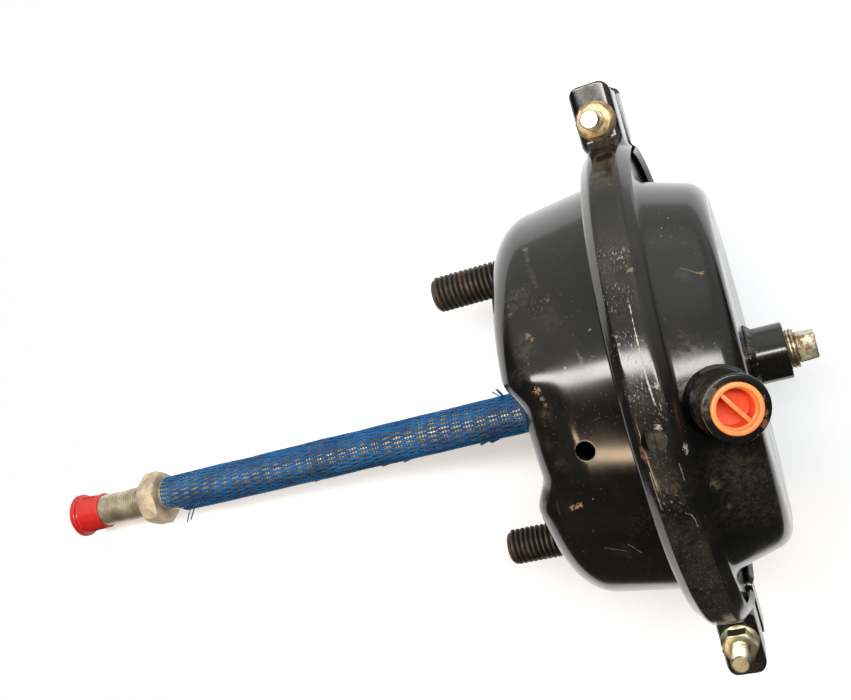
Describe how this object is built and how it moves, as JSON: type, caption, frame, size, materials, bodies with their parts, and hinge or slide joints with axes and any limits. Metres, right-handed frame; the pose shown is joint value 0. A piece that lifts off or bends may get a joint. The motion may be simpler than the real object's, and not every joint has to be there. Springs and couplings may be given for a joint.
{
  "type": "air brake chamber",
  "caption": "Round air brake chamber: two stamped shells in a bolted clamp ring, a sprung push rod with jam nut, capped thread and mesh sleeve, mounting studs and plugged air ports.",
  "frame": {"origin": "centre of the mounting face, on the push rod's axis, midway between the studs", "axes": "+X along the push rod, out of the chamber; +Y along the line of the studs; +Z towards the side port and the vent"},
  "size_m": [0.3681, 0.251, 0.2056],
  "materials": {
    "black_paint": "gloss paint, scratched and dusty",
    "orange_plastic": "moulded, slightly translucent",
    "rusty_zinc": "plated, stained with rust",
    "black_rubber": "matt",
    "plain_steel": "oiled",
    "grey_zinc": "dull zinc",
    "spring_steel": "phosphated",
    "red_plastic": "moulded",
    "blue_mesh": "extruded netting",
    "dark_steel": "dark, rust at the tips",
    "yellow_zinc": "yellow zinc plate"
  },
  "bodies": {
    "chamber": {"pressure_housing": "black_paint", "side_port_boss": "black_paint", "rear_port_boss": "black_paint", "non_pressure_housing": "black_paint", "clamp_ring_upper": "black_paint", "clamp_ring_lower": "black_paint", "diaphragm": "black_rubber", "return_spring": "spring_steel", "mounting_stud_left": "dark_steel", "mounting_stud_right": "dark_steel", "clamp_bolt_left": "yellow_zinc", "clamp_bolt_right": "yellow_zinc", "clamp_nut_left": "yellow_zinc", "clamp_nut_right": "yellow_zinc"},
    "push_rod_assembly": {"push_plate": "plain_steel", "push_rod": "grey_zinc", "rod_sleeve": "blue_mesh"},
    "jam_nut": {"rod_jam_nut": "grey_zinc"},
    "thread_cap": {"rod_thread_cap": "red_plastic"},
    "side_plug": {"side_port_plug": "orange_plastic"},
    "rear_plug": {"rear_port_plug": "rusty_zinc"}
  },
  "joints": [
    {"name": "rod_stroke", "type": "slide", "parent": "chamber", "child": "push_rod_assembly", "axis": [1, 0, 0], "range_m": [0, 0.0635], "stiffness_N_per_m": 1500, "springref_m": -0.08, "deforming": ["return_spring", "diaphragm"]},
    {"name": "jam_nut_turn", "type": "hinge", "parent": "push_rod_assembly", "child": "jam_nut", "pos_m": [0.2052, 0, 0], "axis": [1, 0, 0], "continuous": true},
    {"name": "cap_pull", "type": "slide", "parent": "push_rod_assembly", "child": "thread_cap", "axis": [1, 0, 0], "range_m": [0, 0.03]},
    {"name": "side_plug_pull", "type": "slide", "parent": "chamber", "child": "side_plug", "axis": [-0.3074, -0.0332, 0.951], "range_m": [0, 0.025]},
    {"name": "rear_plug_turn", "type": "hinge", "parent": "chamber", "child": "rear_plug", "pos_m": [-0.1039, 0, 0], "axis": [-1, 0, 0], "continuous": true}
  ]
}
